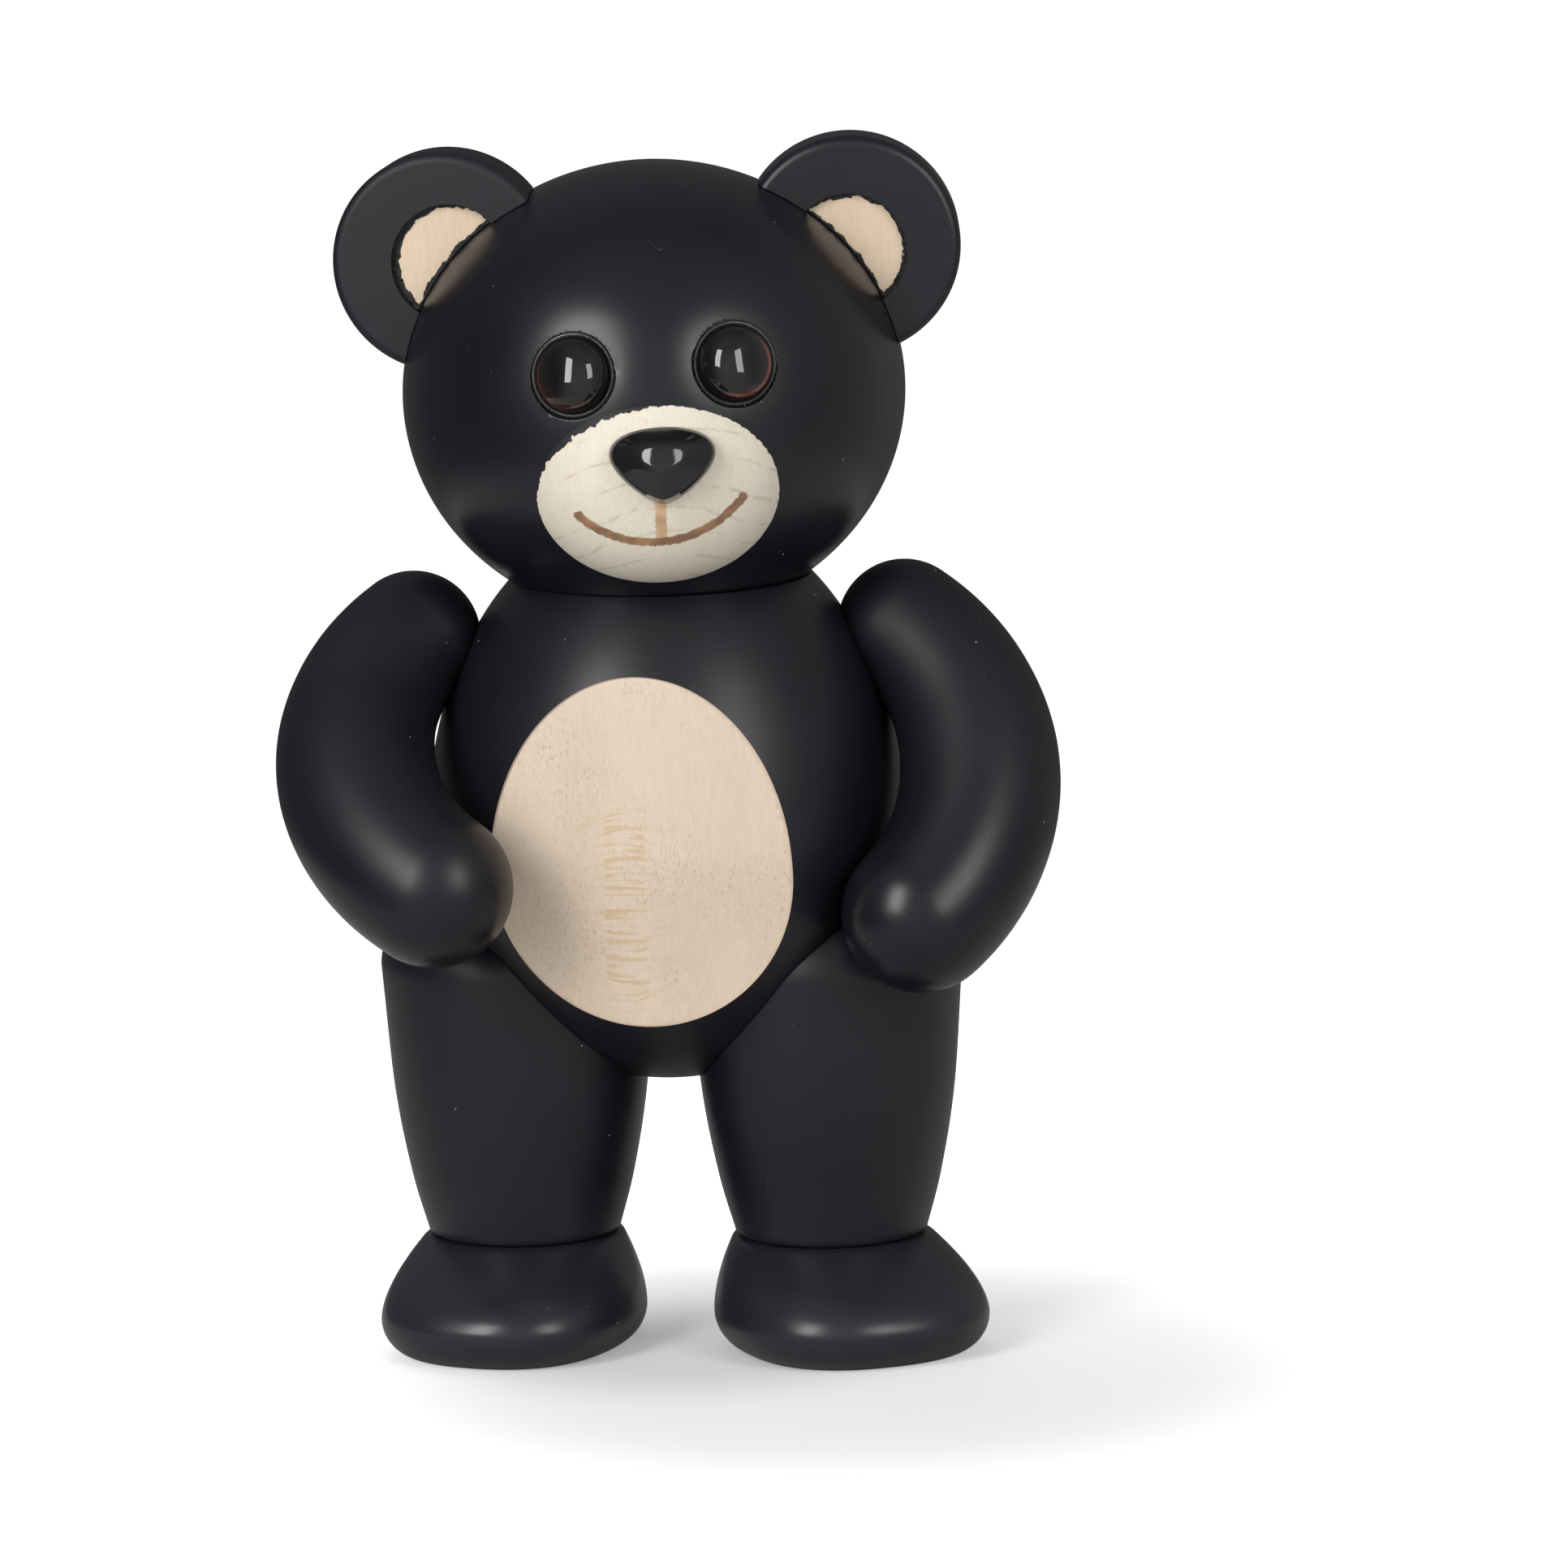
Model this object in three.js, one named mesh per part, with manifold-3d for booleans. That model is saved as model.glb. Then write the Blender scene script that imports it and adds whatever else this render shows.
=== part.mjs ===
// A standing bear figurine in turned and shaped hardwood, about 145 mm tall.
// It faces -Y and stands on the floor at z = 0. Its own left side is at +X. All sizes are millimetres.

import * as THREE from 'three';
import { mergeVertices } from 'three/addons/utils/BufferGeometryUtils.js';
import Module from 'manifold-3d';

const wasm = await Module();
wasm.setup();

// Driving dimensions

const jointGap = 0.3;

const torsoRadius = 28.5;
const torsoWidestZ = 63;
const torsoRise = 38.2;
const torsoDrop = 31.5;
const torsoPoint = 1.72;
const torsoTipZ = 32.6;
const neckZ = 92.7;
const trunkTurn = -8;
const trunkX = -0.3;

const bellyWidth = 36;
const bellyWidestZ = 60.3;
const bellyTopZ = 84.1;
const bellyBottomZ = 41.3;
const bellyRecess = 0.3;
const bellyCrown = 0.8;

const headWidth = 59.8;
const headHeight = 54.9;
const headX = -0.6;
const headZ = 114.85;
const headRoll = 1;

const muzzleSize = { x: 32.7, y: 24, z: 28.8 };
const muzzlePlace = { x: 0.15, y: -19.3, z: -6.2 };
const muzzlePitch = 18.7;

const noseWidth = 12.4;
const noseHeight = 9;
const noseWidestZ = 1.35;
const nosePointEase = 0.3;
const noseCheekDrop = 0.6;
const noseBrowRise = 0.75;
const noseCrownEase = 0.55;
const noseThickness = 3.5;
const noseRim = 0.7;
const noseFace = 0.92;
const noseRound = 1.6;
const noseSlant = 0.17;
const noseTipZ = 1;
const noseTail = 2.1;
const nosePlace = { x: 1, y: -31.6, z: -4.6 };
const noseTilt = -10;

const eyeDiameter = 9.3;
const eyeDome = 3.4;
const eyeSpread = 9.7;
const eyeShift = 0.4;
const eyeZ = 6.2;
const eyeSkew = 0.27;
const eyeSunk = 0.75;
const eyeSeat = 2.2;
const eyeTurn = 14;
const eyeLift = 10;
const socketDiameter = 10.3;

const earDiameter = 26.2;
const earThickness = 8;
const earEdge = 1.2;
const earSpread = 24;
const earZ = 16.7;
const earRecessDiameter = 14;
const earRecessDepth = 1;
const earRecessShift = { right: { x: 1.1, z: 0 }, left: { x: -0.3, z: -0.7 } };
const earTurn = { right: -9, left: 0 };

const shoulderX = { right: 30, left: 28.5 };
const shoulderZ = 85.8;
const armChord = 37.6;
const armBow = 8;
const armRadii = [8, 8.8, 9.5, 9.6, 9.4];
const armSwing = { right: 47, left: 34 };
const armLean = { right: 3.4, left: -1.5 };
const armCapAngle = 82;

const legX = 18.6;
const legWidestRadius = 16.4;
const legWidestZ = 46;
const legTopZ = 57;
const ankleRadius = 11.4;
const calfRadius = 13.4;
const calfZ = 20.5;
const thighRadius = 15.2;
const thighZ = 31;

const footHeight = 13;
const footWidth = { right: 29.8, left: 31.4 };
const footTopRadius = 11.8;
const footSquareness = 0.84;
const footHeelTaper = 0.14;
const footFlare = 1.8;
const footInward = { right: 1.5, left: 0.5 };
const footSoleAngle = -75;
const footToe = 23;
const footHeel = 12.6;
const footBallY = -7;
const footEdge = 4.6;
const toeOut = { right: 25, left: 23 };

// How many flat sides stand for each round form
const facets = {
  torso: 36, leg: 28, foot: 28, arm: 16, head: 36, muzzle: 32,
  ear: 32, recess: 24, nose: 24, eye: 20, socket: 24,
};
const headRows = 22;
const muzzleRows = 18;

const blackPaint = new THREE.Color(0x232529);
const bareMaple = new THREE.Color(0xdecbb8);
const noseBlack = new THREE.Color(0x151618);
const eyeBlack = new THREE.Color(0x1a1412);

const paintedWood = () => new THREE.MeshStandardMaterial({ color: blackPaint, roughness: 0.55 });
const bareWood = () => new THREE.MeshStandardMaterial({ color: bareMaple, roughness: 0.7 });

// Small tools

const mergeReach = 1e-5;
const flatEnough = 0.01;
const radians = THREE.MathUtils.degToRad;
const ellipseAt = (radius, half, offset) => radius * Math.sqrt(1 - (offset / half) ** 2);

function steps(count, from, to) {
  return Array.from({ length: count + 1 }, (_, i) => from + ((to - from) * i) / count);
}

function solidOf(geometry) {
  const bare = new THREE.BufferGeometry();
  bare.setAttribute('position', geometry.getAttribute('position').clone());
  if (geometry.index) bare.setIndex(geometry.index.clone());
  const merged = mergeVertices(bare, mergeReach);
  const vertProperties = new Float32Array(merged.getAttribute('position').array);
  const triVerts = new Uint32Array(merged.index.array);
  return new wasm.Manifold(new wasm.Mesh({ numProp: 3, vertProperties, triVerts }));
}

function geometryOf(solid) {
  const mesh = solid.getMesh();
  const geometry = new THREE.BufferGeometry();
  geometry.setAttribute('position', new THREE.BufferAttribute(new Float32Array(mesh.vertProperties), 3));
  geometry.setIndex(new THREE.BufferAttribute(new Uint32Array(mesh.triVerts), 1));
  geometry.computeVertexNormals();
  return geometry;
}

// Cuts a piece by shapes that are given in the frame of the piece's parent
function carve(piece, ...cutters) {
  piece.updateMatrix();
  const toPiece = piece.matrix.clone().invert();
  let solid = solidOf(piece.geometry);
  for (const cutter of cutters) {
    solid = solid.subtract(solidOf(cutter.clone().applyMatrix4(toPiece)));
  }
  piece.geometry = geometryOf(solid.simplify(flatEnough));
}

// Turns a profile of [radius, height] points, from the bottom up, about the Z axis
function turned(profile, sides) {
  const points = profile.map(([radius, height]) => new THREE.Vector2(radius, height));
  return new THREE.LatheGeometry(points, sides).rotateX(Math.PI / 2);
}

// Skins closed rings of points, each with the same count, and closes both ends
function loft(rings) {
  const count = rings[0].length;
  const middle = (ring) => ring.reduce((sum, p) => sum.add(p), new THREE.Vector3()).divideScalar(count);
  const points = [...rings.flat(), middle(rings[0]), middle(rings.at(-1))];
  const first = rings.length * count;
  const faces = [];
  for (let i = 0; i < count; i += 1) {
    const j = (i + 1) % count;
    for (let k = 0; k + 1 < rings.length; k += 1) {
      const low = k * count;
      const high = low + count;
      faces.push(low + i, low + j, high + j, low + i, high + j, high + i);
    }
    const top = (rings.length - 1) * count;
    faces.push(first, j, i, first + 1, top + i, top + j);
  }
  const geometry = new THREE.BufferGeometry().setFromPoints(points);
  geometry.setIndex(faces);
  geometry.computeVertexNormals();
  return geometry;
}

function ellipsoid(size, grow, sides, rows) {
  const sphere = new THREE.SphereGeometry(1, sides, rows).rotateX(Math.PI / 2);
  return sphere.scale(size.x / 2 + grow, size.y / 2 + grow, size.z / 2 + grow);
}

function named(name, geometry, material, position = [0, 0, 0]) {
  const mesh = new THREE.Mesh(geometry, material);
  mesh.name = name;
  mesh.position.set(...position);
  return mesh;
}

// Torso: an egg turned about the upright axis, blunt at the neck and at the tip between the legs

// Below its widest ring the egg is a little more pointed than an ellipse
function torsoRadiusAt(z) {
  if (z > torsoWidestZ) return ellipseAt(torsoRadius, torsoRise, z - torsoWidestZ);
  const fall = ((torsoWidestZ - z) / torsoDrop) ** torsoPoint;
  return torsoRadius * (1 - fall) ** (1 / torsoPoint);
}

function torsoGeometry(grow) {
  const below = steps(8, 0, 1).map((part) => {
    const angle = Math.asin((torsoWidestZ - torsoTipZ) / torsoDrop) * (1 - part);
    return torsoWidestZ - torsoDrop * Math.sin(angle);
  });
  const above = steps(7, 0, Math.asin((neckZ - torsoWidestZ) / torsoRise))
    .map((angle) => torsoWidestZ + torsoRise * Math.sin(angle));
  const profile = [...below, ...above.slice(1)].map((z) => [torsoRadiusAt(z) + grow, z]);
  profile[0][1] -= grow;
  profile.at(-1)[1] += grow;
  return turned([[0, torsoTipZ - grow], ...profile, [0, neckZ + grow]], facets.torso);
}

// Belly: an egg-shaped oval cut back to a nearly flat face, a little below the paint round it.
// The cutter is skinned from level slices, each with a slightly crowned back and a square front.
function bellyCutter() {
  const slices = steps(14, radians(-87), radians(87)).map((angle) => {
    const reach = angle > 0 ? bellyTopZ - bellyWidestZ : bellyWidestZ - bellyBottomZ;
    const z = bellyWidestZ + reach * Math.sin(angle);
    const half = (bellyWidth / 2) * Math.cos(angle);
    const edge = Math.sqrt(torsoRadiusAt(z) ** 2 - half ** 2) - bellyRecess;
    const back = steps(6, 1, -1).map((across) => (
      new THREE.Vector3(across * half, -edge - bellyCrown * (1 - across ** 2) * Math.cos(angle), z)
    ));
    return [...back, ...[-half, half].map((x) => new THREE.Vector3(x, -2 * torsoRadius, z))];
  });
  return loft(slices);
}

const trunk = new THREE.Group();
trunk.rotation.z = radians(trunkTurn);
trunk.position.x = trunkX;

const body = named('body', torsoGeometry(0), paintedWood());
carve(body, bellyCutter());
trunk.add(body);

const torsoWithGap = torsoGeometry(jointGap);
trunk.updateMatrix();

// Legs: tapered barrels with a domed hip, hollowed to fit against the torso

function legGeometry(grow) {
  const bottom = footHeight + jointGap;
  const taper = new THREE.SplineCurve([
    new THREE.Vector2(ankleRadius, bottom),
    new THREE.Vector2(calfRadius, calfZ),
    new THREE.Vector2(thighRadius, thighZ),
    new THREE.Vector2(legWidestRadius, legWidestZ),
  ]);
  const barrel = taper.getPoints(6).map((p) => [p.x + grow, p.y]);
  const dome = steps(4, 0, Math.PI / 2).slice(1).map((angle) => [
    (legWidestRadius + grow) * Math.cos(angle),
    legWidestZ + (legTopZ - legWidestZ + grow) * Math.sin(angle),
  ]);
  dome.at(-1)[0] = 0;
  return turned([[0, bottom], ...barrel, ...dome], facets.leg);
}

const sides = [
  { side: 'left', sign: 1 },
  { side: 'right', sign: -1 },
];

for (const { side, sign } of sides) {
  const leg = named(`leg_${side}`, legGeometry(0), paintedWood(), [sign * legX, 0, 0]);
  carve(leg, torsoWithGap);
  trunk.add(leg);
}

// Feet: rounded shoe shapes that flare out from the ankle and are flat below

// One level ring of the foot. The ring under the ankle is round, and the sole is set a little inwards of it
function footOutline({ side, sign }, inset, blend) {
  return steps(facets.foot, 0, 2 * Math.PI).slice(0, -1).map((angle) => {
    const squared = (value) => Math.sign(value) * Math.abs(value) ** footSquareness;
    const across = squared(Math.sin(angle));
    const along = squared(Math.cos(angle));
    const length = along > 0 ? footToe + footBallY : footHeel - footBallY;
    const heelTaper = along > 0 ? 1 : 1 - footHeelTaper * along * along;
    const x = across * (footWidth[side] / 2 - inset) * heelTaper - sign * footInward[side];
    const y = footBallY - along * (length - inset);
    const ankle = [footTopRadius * Math.sin(angle), -footTopRadius * Math.cos(angle)];
    return [x + (ankle[0] - x) * blend, y + (ankle[1] - y) * blend];
  });
}

function footGeometry(foot) {
  const start = radians(footSoleAngle);
  const levels = steps(4, start, 0).map((angle) => ({
    z: footEdge * (Math.sin(angle) - Math.sin(start)),
    inset: footEdge * (1 - Math.cos(angle)),
    blend: 0,
  }));
  const widestZ = levels.at(-1).z;
  for (const rise of steps(5, 0, 1).slice(1)) {
    levels.push({ z: widestZ + (footHeight - widestZ) * rise, inset: 0, blend: rise ** footFlare });
  }
  return loft(levels.map(({ z, inset, blend }) => (
    footOutline(foot, inset, blend).map(([x, y]) => new THREE.Vector3(x, y, z))
  )));
}

const figure = new THREE.Group();
figure.add(trunk);

for (const { side, sign } of sides) {
  const ankle = new THREE.Vector3(sign * legX, 0, 0).applyMatrix4(trunk.matrix);
  const foot = named(`foot_${side}`, footGeometry({ side, sign }), paintedWood(), ankle.toArray());
  foot.rotation.z = radians(sign * toeOut[side]);
  figure.add(foot);
}

// Arms: thick rods bent outwards at the elbow, thin at the shoulder, with round ends

function armGeometry(sign) {
  const bend = (armChord ** 2 / 4 + armBow ** 2) / (2 * armBow);
  const halfAngle = Math.asin(armChord / 2 / bend);
  const radiusCurve = new THREE.SplineCurve(armRadii.map((r, i) => new THREE.Vector2(i, r)));
  const ring = (along, radius, push) => {
    const angle = halfAngle * (1 - 2 * along);
    const outward = new THREE.Vector3(sign * Math.cos(angle), 0, Math.sin(angle));
    const ahead = new THREE.Vector3(sign * Math.sin(angle), 0, -Math.cos(angle));
    const centre = new THREE.Vector3(sign * (armBow - bend), 0, -armChord / 2)
      .addScaledVector(outward, bend)
      .addScaledVector(ahead, push);
    return steps(facets.arm, 0, 2 * Math.PI).slice(0, -1).map((turn) => (
      centre.clone()
        .addScaledVector(outward, radius * Math.cos(turn))
        .add(new THREE.Vector3(0, radius * Math.sin(turn), 0))
    ));
  };
  const [shoulder, hand] = [armRadii[0], armRadii.at(-1)];
  const capAngles = steps(4, radians(armCapAngle), 0);
  const rings = [
    ...capAngles.slice(0, -1).map((a) => ring(0, shoulder * Math.cos(a), -shoulder * Math.sin(a))),
    ...steps(9, 0, 1).map((along) => ring(along, radiusCurve.getPoint(along).y, 0)),
    ...capAngles.slice(0, -1).reverse().map((a) => ring(1, hand * Math.cos(a), hand * Math.sin(a))),
  ];
  return loft(sign > 0 ? rings.map((points) => points.reverse()) : rings);
}

for (const { side, sign } of sides) {
  const place = [sign * shoulderX[side], 0, shoulderZ];
  const arm = named(`arm_${side}`, armGeometry(sign), paintedWood(), place);
  arm.rotation.set(radians(-armSwing[side]), radians(sign * armLean[side]), 0);
  const legWithGap = legGeometry(jointGap).translate(sign * legX, 0, 0);
  carve(arm, ...[torsoWithGap, legWithGap].map((cutter) => cutter.clone().applyMatrix4(trunk.matrix)));
  figure.add(arm);
}

// Head: a turned ball, flat where it sits on the torso, with a round hole drilled for each eye

const headSize = { x: headWidth, y: headWidth, z: headHeight };
const headGroup = new THREE.Group();
headGroup.position.set(headX, 0, headZ);
headGroup.rotation.y = radians(-headRoll);
figure.add(headGroup);

const headWithGap = ellipsoid(headSize, jointGap, facets.head, headRows);

// The place on the ball's front that is x beside and z above its middle
function onHead(x, z) {
  const half = headWidth / 2;
  const y = -half * Math.sqrt(1 - (x / half) ** 2 - (z / (headHeight / 2)) ** 2);
  return new THREE.Vector3(x, y, z);
}

// Each eye's own frame: its rim lies in the plane y = 0, a little below the ball's surface
function eyeFrame(sign) {
  const group = new THREE.Group();
  group.position.copy(onHead(eyeShift + sign * eyeSpread, eyeZ + sign * eyeSkew));
  group.rotation.order = 'ZXY';
  group.rotation.set(radians(-eyeLift), 0, radians(sign * eyeTurn));
  group.translateY(eyeSunk);
  group.updateMatrix();
  return group;
}

// A round bar along the drilling direction, from a depth behind a plane to a height in front of it
function bar(radius, depth, height, sidesCount) {
  const profile = [[0, -depth], [radius, -depth], [radius, height], [0, height]];
  return turned(profile, sidesCount).rotateX(Math.PI / 2);
}

const head = named('head', ellipsoid(headSize, 0, facets.head, headRows), paintedWood());
const neckCut = new THREE.BoxGeometry(headWidth, headWidth, headHeight);
neckCut.translate(0, 0, neckZ + jointGap - headZ - headHeight / 2).rotateY(radians(headRoll));
const socketCuts = sides.map(({ sign }) => (
  bar(socketDiameter / 2, eyeSeat, socketDiameter, facets.socket).applyMatrix4(eyeFrame(sign).matrix)
));
carve(head, neckCut, ...socketCuts);
headGroup.add(head);

// Eyes: glass buttons with a domed front, each in its own socket

function eyeGeometry() {
  const radius = eyeDiameter / 2;
  const bend = (radius ** 2 + eyeDome ** 2) / (2 * eyeDome);
  const widest = Math.asin(radius / bend);
  const dome = steps(5, widest, 0).map((a) => [bend * Math.sin(a), bend * Math.cos(a) - bend + eyeDome]);
  dome.at(-1)[0] = 0;
  return turned([[0, -eyeSeat + jointGap], [radius, -eyeSeat + jointGap], ...dome], facets.eye)
    .rotateX(Math.PI / 2);
}

for (const { side, sign } of sides) {
  const frame = eyeFrame(sign);
  const eyeMaterial = new THREE.MeshStandardMaterial({ color: eyeBlack, roughness: 0.08 });
  const eye = named(`eye_${side}`, eyeGeometry(), eyeMaterial, frame.position.toArray());
  eye.rotation.copy(frame.rotation);
  headGroup.add(eye);
}

// Muzzle: a bare wooden dome, hollowed at the back to fit the ball

const muzzle = named('muzzle', ellipsoid(muzzleSize, 0, facets.muzzle, muzzleRows), bareWood());
muzzle.position.set(muzzlePlace.x, muzzlePlace.y, muzzlePlace.z);
muzzle.rotation.x = radians(muzzlePitch);
carve(muzzle, headWithGap);
headGroup.add(muzzle);

// Ears: thick discs with rounded rims, hollowed to fit the ball, with a shallow round recess in front

function earGeometry() {
  const [radius, half] = [earDiameter / 2, earThickness / 2];
  const rim = steps(3, 0, Math.PI / 2).map((a) => [
    radius - earEdge * (1 - Math.sin(a)),
    earEdge * Math.cos(a),
  ]);
  const back = rim.map(([r, h]) => [r, earEdge - half - h]);
  const front = rim.map(([r, h]) => [r, half - earEdge + h]).reverse();
  return turned([[0, -half], ...back, ...front, [0, half]], facets.ear).rotateX(Math.PI / 2);
}

for (const { side, sign } of sides) {
  const ear = named(`ear_${side}`, earGeometry(), paintedWood(), [sign * earSpread, 0, earZ]);
  ear.rotation.z = radians(earTurn[side]);
  ear.updateMatrix();
  const shift = earRecessShift[side];
  const recess = bar(earRecessDiameter / 2, earRecessDepth, earThickness / 2, facets.recess)
    .translate(shift.x, -earThickness / 2, shift.z)
    .applyMatrix4(ear.matrix);
  carve(ear, headWithGap, recess);
  headGroup.add(ear);
}

// Nose: a rounded triangle, point down, moulded with a sloping wall, a front that rises to a blunt tip
// a little above its middle, and a hollow back on the muzzle. It is thickest at the bottom.

function noseGeometry() {
  const [half, top, low] = [noseWidth / 2, noseHeight / 2, -noseHeight / 2];
  const [point, cheek] = [half * nosePointEase, -noseWidestZ * noseCheekDrop];
  const [brow, crown] = [top * noseBrowRise, half * noseCrownEase];
  const shape = new THREE.Shape();
  shape.moveTo(0, low);
  shape.bezierCurveTo(point, low, half, cheek, half, noseWidestZ);
  shape.bezierCurveTo(half, brow, crown, top, 0, top);
  shape.bezierCurveTo(-crown, top, -half, brow, -half, noseWidestZ);
  shape.bezierCurveTo(-half, cheek, -point, low, 0, low);
  const outline = shape.getSpacedPoints(facets.nose).slice(0, -1);
  const levels = [{ size: 1, rise: -noseTail }, { size: 1, rise: 0 }];
  for (const size of steps(6, noseFace, noseFace / 12)) {
    const rise = noseRim + (noseThickness - noseRim) * (1 - (size / noseFace) ** noseRound);
    levels.push({ size, rise });
  }
  return loft(levels.map(({ size, rise }) => outline.map((p) => {
    const z = noseTipZ + (p.y - noseTipZ) * size;
    const slant = rise > 0 ? noseSlant * (top - z) : 0;
    return new THREE.Vector3(p.x * size, -rise - slant, z);
  })));
}

const noseMaterial = new THREE.MeshStandardMaterial({ color: noseBlack, roughness: 0.2 });
const nose = named('nose', noseGeometry(), noseMaterial, [nosePlace.x, nosePlace.y, nosePlace.z]);
nose.rotation.x = radians(noseTilt);
muzzle.updateMatrix();
carve(nose, ellipsoid(muzzleSize, jointGap, facets.muzzle, muzzleRows).applyMatrix4(muzzle.matrix));
headGroup.add(nose);

// The origin is the middle of the bottom of the whole figure's box
const extent = new THREE.Box3().setFromObject(figure, true);
const middle = extent.getCenter(new THREE.Vector3());
figure.position.set(-middle.x, -middle.y, -extent.min.z);

export default figure;
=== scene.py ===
import math

import bmesh
import bpy
import numpy as np
from mathutils import Matrix, Vector


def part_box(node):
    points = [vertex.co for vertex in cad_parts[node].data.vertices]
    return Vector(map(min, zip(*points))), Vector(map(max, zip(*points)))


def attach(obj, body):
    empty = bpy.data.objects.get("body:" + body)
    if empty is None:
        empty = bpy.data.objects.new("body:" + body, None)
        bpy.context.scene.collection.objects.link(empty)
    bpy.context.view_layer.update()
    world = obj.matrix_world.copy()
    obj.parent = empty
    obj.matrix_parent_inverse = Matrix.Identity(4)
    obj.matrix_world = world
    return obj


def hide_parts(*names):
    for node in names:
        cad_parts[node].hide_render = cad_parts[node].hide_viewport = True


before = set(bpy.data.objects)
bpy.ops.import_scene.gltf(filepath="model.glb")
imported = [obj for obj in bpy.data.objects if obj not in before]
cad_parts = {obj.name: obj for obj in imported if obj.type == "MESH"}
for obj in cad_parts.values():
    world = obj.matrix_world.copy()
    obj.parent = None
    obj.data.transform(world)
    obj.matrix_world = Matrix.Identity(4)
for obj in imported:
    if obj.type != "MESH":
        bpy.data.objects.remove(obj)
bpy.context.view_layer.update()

# Black paint
# A satin black lacquer over sanded maple. The wood's pores print through it very faintly, a few
# dust grains dried into it, and handling has left short hairline marks.

mm = 0.001


def feed(tree, socket, value):
    if isinstance(value, bpy.types.NodeSocket):
        tree.links.new(value, socket)
    else:
        socket.default_value = value


def add(tree, kind, inputs=None, **settings):
    node = tree.nodes.new(kind)
    for name, value in settings.items():
        setattr(node, name, value)
    for name, value in (inputs or {}).items():
        feed(tree, node.inputs[name], value)
    return node


def maths(tree, operation, *values):
    """One operation. With more than two values it is carried along them in turn."""
    if len(values) > 2:
        return maths(tree, operation, maths(tree, operation, *values[:-1]), values[-1])
    node = add(tree, "ShaderNodeMath", operation=operation)
    for socket, value in zip(node.inputs, values):
        feed(tree, socket, value)
    return node.outputs[0]


def product(tree, *values):
    return maths(tree, "MULTIPLY", *values)


def total(tree, *values):
    return maths(tree, "ADD", *values)


def apart(tree, first, second):
    """How far two numbers are from each other."""
    return maths(tree, "ABSOLUTE", maths(tree, "SUBTRACT", first, second))


def soft_step(tree, value, start, end):
    """0 where the value is at start and 1 where it is at end, with a smooth change between them."""
    sockets = {"Value": value, "From Min": start, "From Max": end}
    return add(tree, "ShaderNodeMapRange", sockets, interpolation_type="SMOOTHSTEP").outputs[0]


def blend(tree, share, first, second):
    node = add(tree, "ShaderNodeMix", data_type="RGBA")
    for name, value in (("Factor_Float", share), ("A_Color", first), ("B_Color", second)):
        feed(tree, next(s for s in node.inputs if s.identifier == name), value)
    return next(s for s in node.outputs if s.identifier == "Result_Color")


def colour(red, green, blue):
    """A display colour, 0 to 255 each, as Blender's linear colour."""
    parts = [value / 255 for value in (red, green, blue)]
    return [v / 12.92 if v <= 0.04045 else ((v + 0.055) / 1.055) ** 2.4 for v in parts] + [1.0]


def vector_maths(tree, operation, first, second=(0, 0, 0)):
    """An operation on vectors. Measures such as DISTANCE come out as one number."""
    node = add(tree, "ShaderNodeVectorMath", {0: first, 1: second}, operation=operation)
    measures = ("DISTANCE", "DOT_PRODUCT", "LENGTH")
    return node.outputs["Value" if operation in measures else "Vector"]


def new_finish(name):
    finish = bpy.data.materials.new(name)
    finish.use_nodes = True
    shader = finish.node_tree.nodes["Principled BSDF"]
    return finish, finish.node_tree, shader


def own_place(tree):
    return add(tree, "ShaderNodeTexCoord").outputs["Object"]


def stretched(tree, cells):
    """The piece's own coordinates, counted in cells: so many to the metre along each axis."""
    return add(tree, "ShaderNodeMapping", {"Vector": own_place(tree), "Scale": cells}).outputs[0]


def noise(tree, cells, detail=2.0):
    """Smooth noise of so many cells to the metre, one number or three, or on given coordinates."""
    if isinstance(cells, int):
        cells = (cells, cells, cells)
    if isinstance(cells, tuple):
        cells = stretched(tree, cells)
    return add(tree, "ShaderNodeTexNoise", {"Vector": cells, "Scale": 1.0, "Detail": detail}).outputs[0]


def give_relief(tree, shader, height, strength, depth):
    bump = add(tree, "ShaderNodeBump", {"Height": height, "Strength": strength, "Distance": depth})
    tree.links.new(bump.outputs[0], shader.inputs["Normal"])


paint_colour = colour(14, 15, 21)
paint_cloud_colour = colour(19, 20, 26)
# Painted light: a lighter paint colour near the feet, standing in for light thrown up from the floor
floor_light_paint_colour = colour(31, 32, 37)
dust_colour = colour(150, 150, 148)
floor_light_heights = (22 * mm, 10 * mm)
paint_roughness = 0.28
paint_relief = 0.02 * mm
dull_change = 12 * mm
dust_cells = 270
dust_size = (0.04, 0.022)
hairline_share = 0.15


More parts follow.
